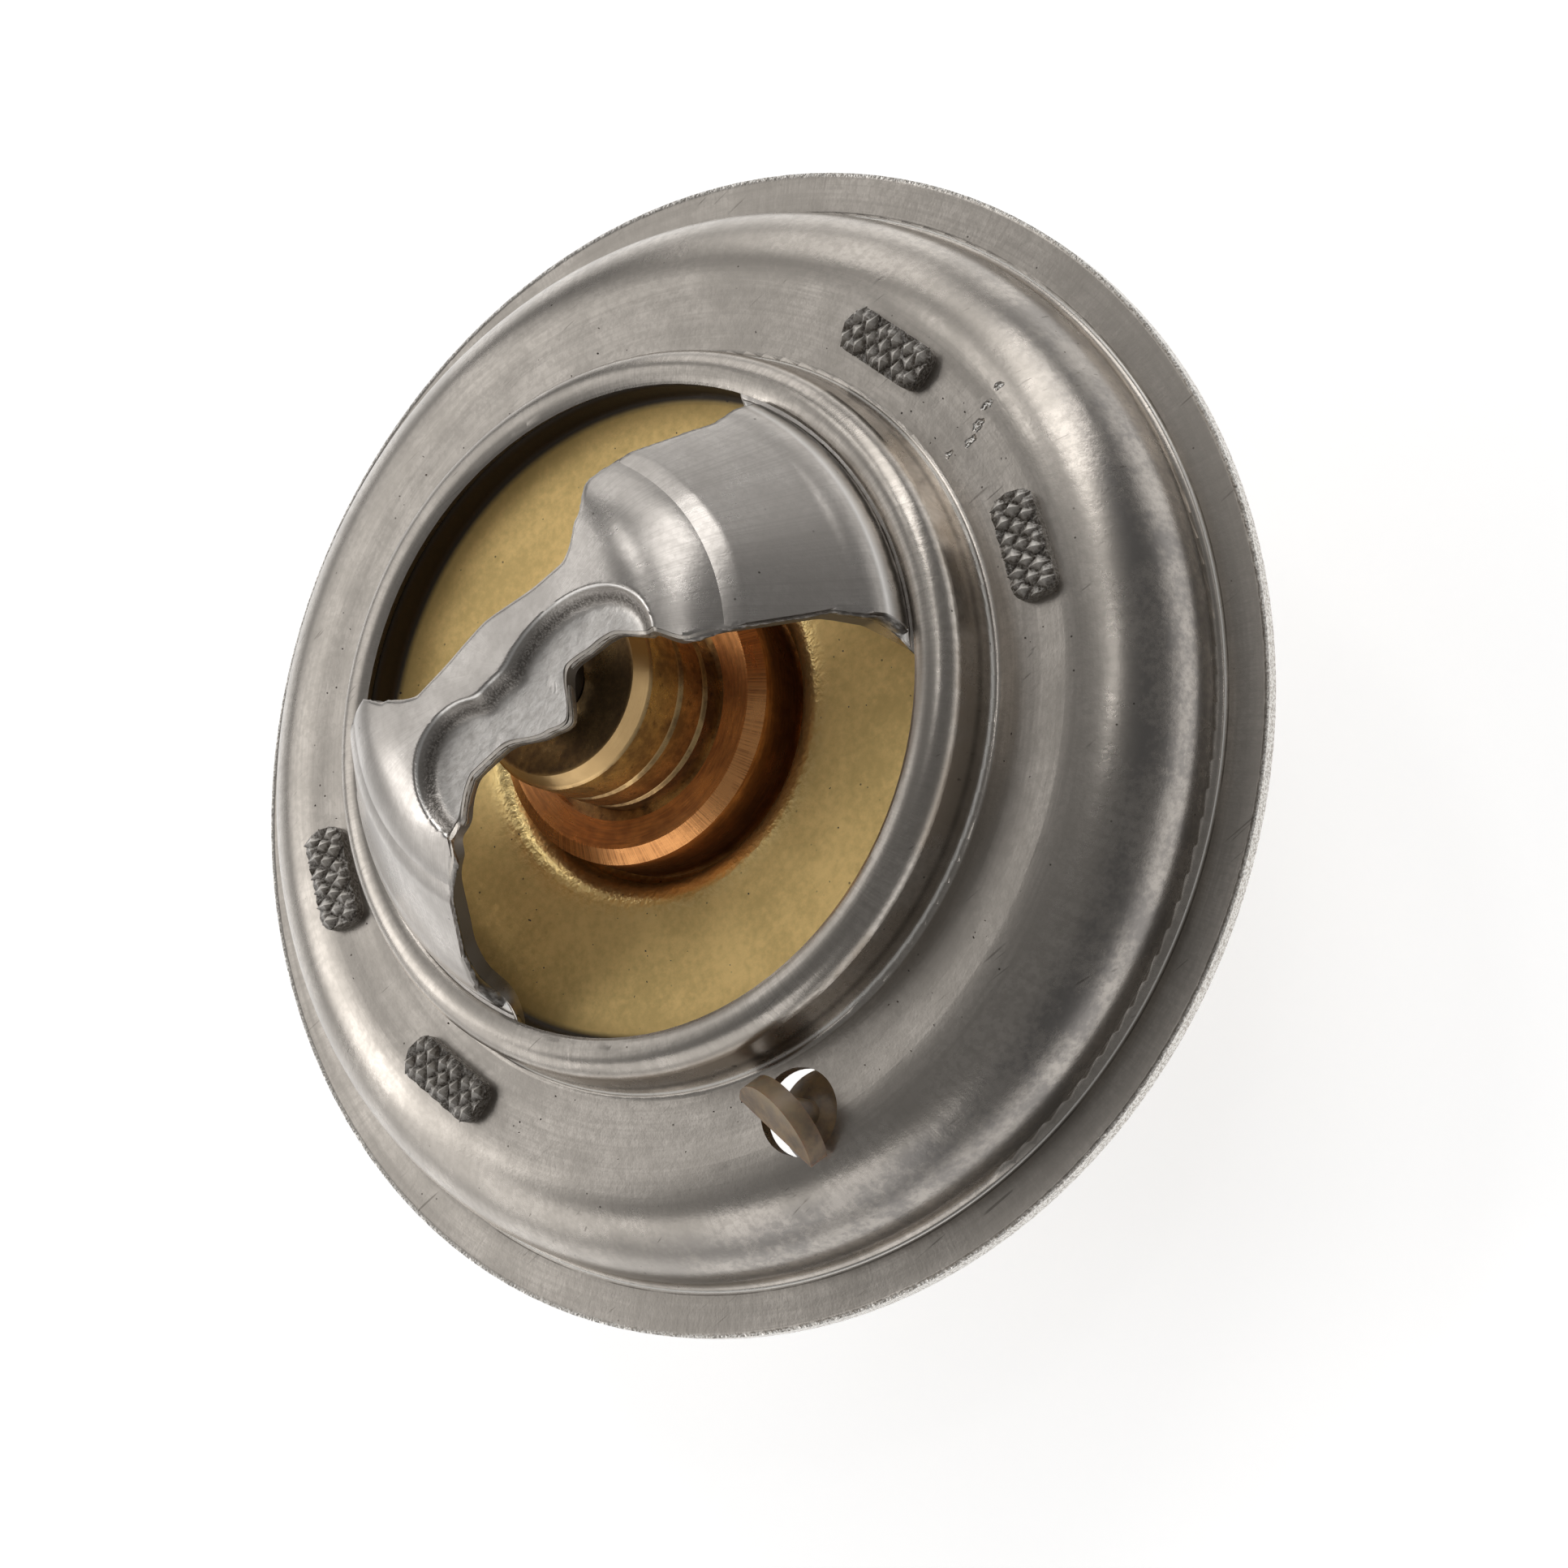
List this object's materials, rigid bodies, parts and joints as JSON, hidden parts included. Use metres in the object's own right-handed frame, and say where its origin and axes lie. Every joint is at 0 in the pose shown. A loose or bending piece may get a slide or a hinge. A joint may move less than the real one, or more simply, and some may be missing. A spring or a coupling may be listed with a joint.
{
  "type": "engine thermostat valve",
  "caption": "Engine coolant thermostat: stamped steel flange and bridge, brass valve disc on a wax cup, coil spring in a staked cage, loose vent pin",
  "frame": {"origin": "middle of the flange's underside, on the valve's axis", "axes": "+Z along the valve's axis towards the bridge, +X along the bridge, +Y to the left of it"},
  "size_m": [0.054, 0.054, 0.0365],
  "materials": {
    "stamped_steel": "brushed and tumbled stainless sheet",
    "cage_steel": "stainless sheet, knurled where staked",
    "brass_sheet": "matte rolled brass",
    "copper": "drawn copper, turned bevel",
    "bronze": "turned, stained brown",
    "piston_steel": "ground and polished",
    "spring_steel": "drawn stainless wire",
    "rubber": "moulded rubber",
    "wax": "copper-filled wax",
    "ring_plastic": "plain white plastic",
    "nylon": "aged translucent nylon"
  },
  "bodies": {
    "frame": {"housing": "stamped_steel", "cage": "cage_steel", "piston": "piston_steel", "main_spring": "spring_steel"},
    "valve": {"valve_disc": "brass_sheet", "wax_cup": "copper", "guide": "bronze", "backup_ring": "ring_plastic", "sleeve": "rubber", "wax": "wax"},
    "vent_pin": {"jiggle_pin": "nylon"}
  },
  "joints": [
    {"name": "valve_lift", "type": "slide", "parent": "frame", "child": "valve", "axis": [0, 0, -1], "range_m": [0, 0.008], "stiffness_N_per_m": 1000, "springref_m": -0.002, "deforming": ["main_spring"]},
    {"name": "vent_pin_lift", "type": "slide", "parent": "frame", "child": "vent_pin", "axis": [0, 0, 1], "range_m": [0, 0.001]}
  ]
}
